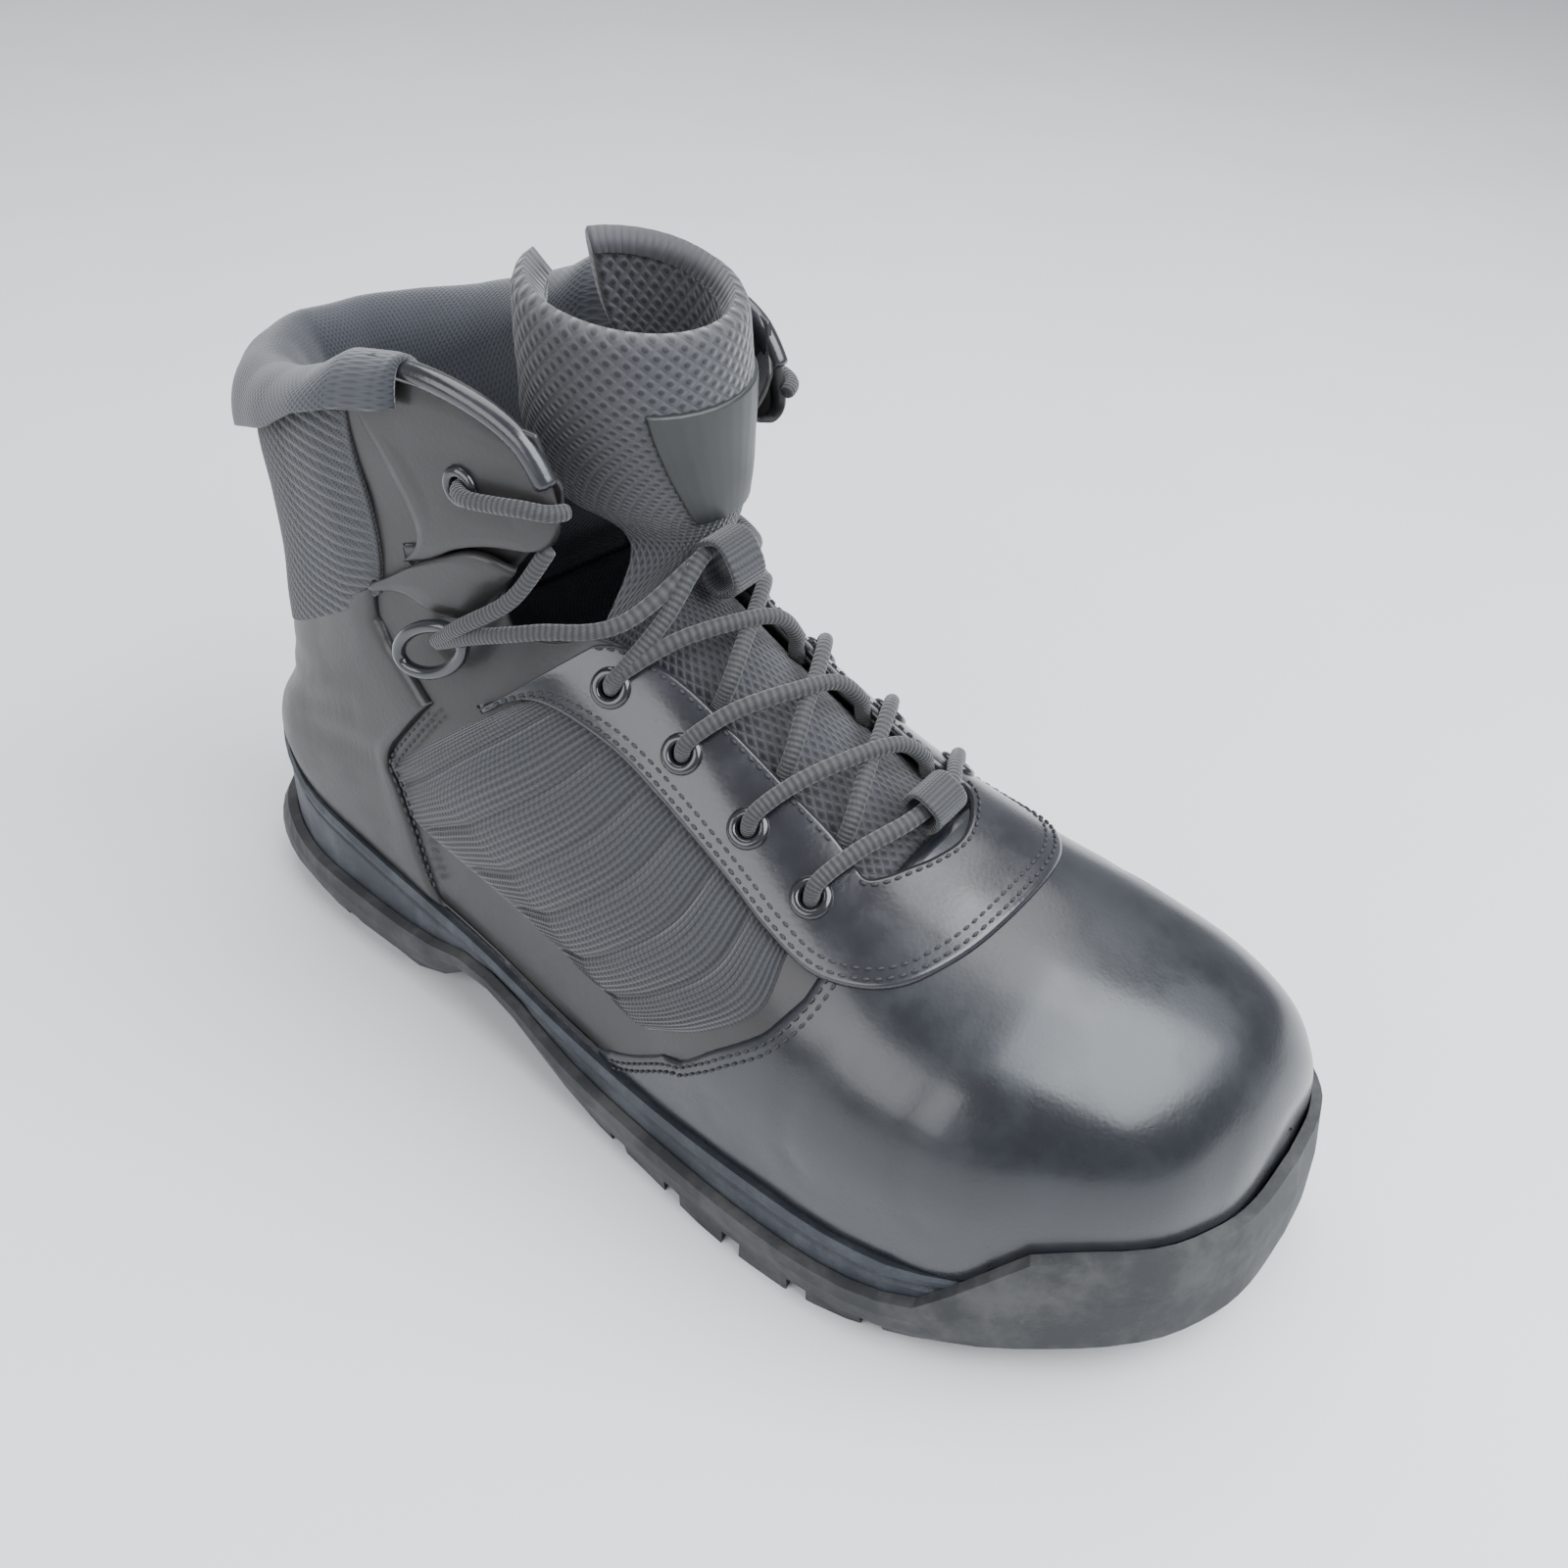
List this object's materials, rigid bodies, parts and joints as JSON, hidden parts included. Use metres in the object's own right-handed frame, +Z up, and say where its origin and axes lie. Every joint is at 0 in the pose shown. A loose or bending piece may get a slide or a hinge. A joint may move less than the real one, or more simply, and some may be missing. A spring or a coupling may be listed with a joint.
{
  "type": "safety toe boot",
  "caption": "Ankle-high black work boot with a rounded toe, lugged rubber sole, toe bumper, tube tongue and criss-cross lacing.",
  "frame": {"origin": "middle of the bottom of the bounding box, on the plane the sole stands on", "axes": "+X to the toe, +Y to the inner (medial) side, +Z up"},
  "size_m": [0.302, 0.1114, 0.1952],
  "materials": {
    "leather": "smooth black leather with a soft gloss",
    "rubber": "matte black rubber",
    "sole_body": "matte textured black rubber",
    "foam": "fabric-covered foam",
    "padding": "black knit over padding",
    "webbing": "black webbing",
    "cord": "braided black lace",
    "enamel": "glossy black enamel"
  },
  "bodies": {
    "root": {"eyelet_lateral_1": "enamel", "eyelet_lateral_2": "enamel", "eyelet_lateral_3": "enamel", "eyelet_lateral_4": "enamel", "eyelet_lateral_flap": "enamel", "eyelet_medial_1": "enamel", "eyelet_medial_2": "enamel", "eyelet_medial_3": "enamel", "eyelet_medial_4": "enamel", "eyelet_medial_flap": "enamel", "hook_strap_lateral": "webbing", "hook_strap_medial": "webbing", "insole": "foam", "lace_bar": "cord", "lace_crossing_1": "cord", "lace_crossing_2": "cord", "lace_crossing_3": "cord", "lace_crossing_4": "cord", "lace_hook_lateral": "enamel", "lace_hook_medial": "enamel", "lace_keeper": "webbing", "midsole": "sole_body", "outsole": "rubber", "throat_tab": "webbing", "tongue": "padding", "upper": "leather"}
  },
  "joints": []
}
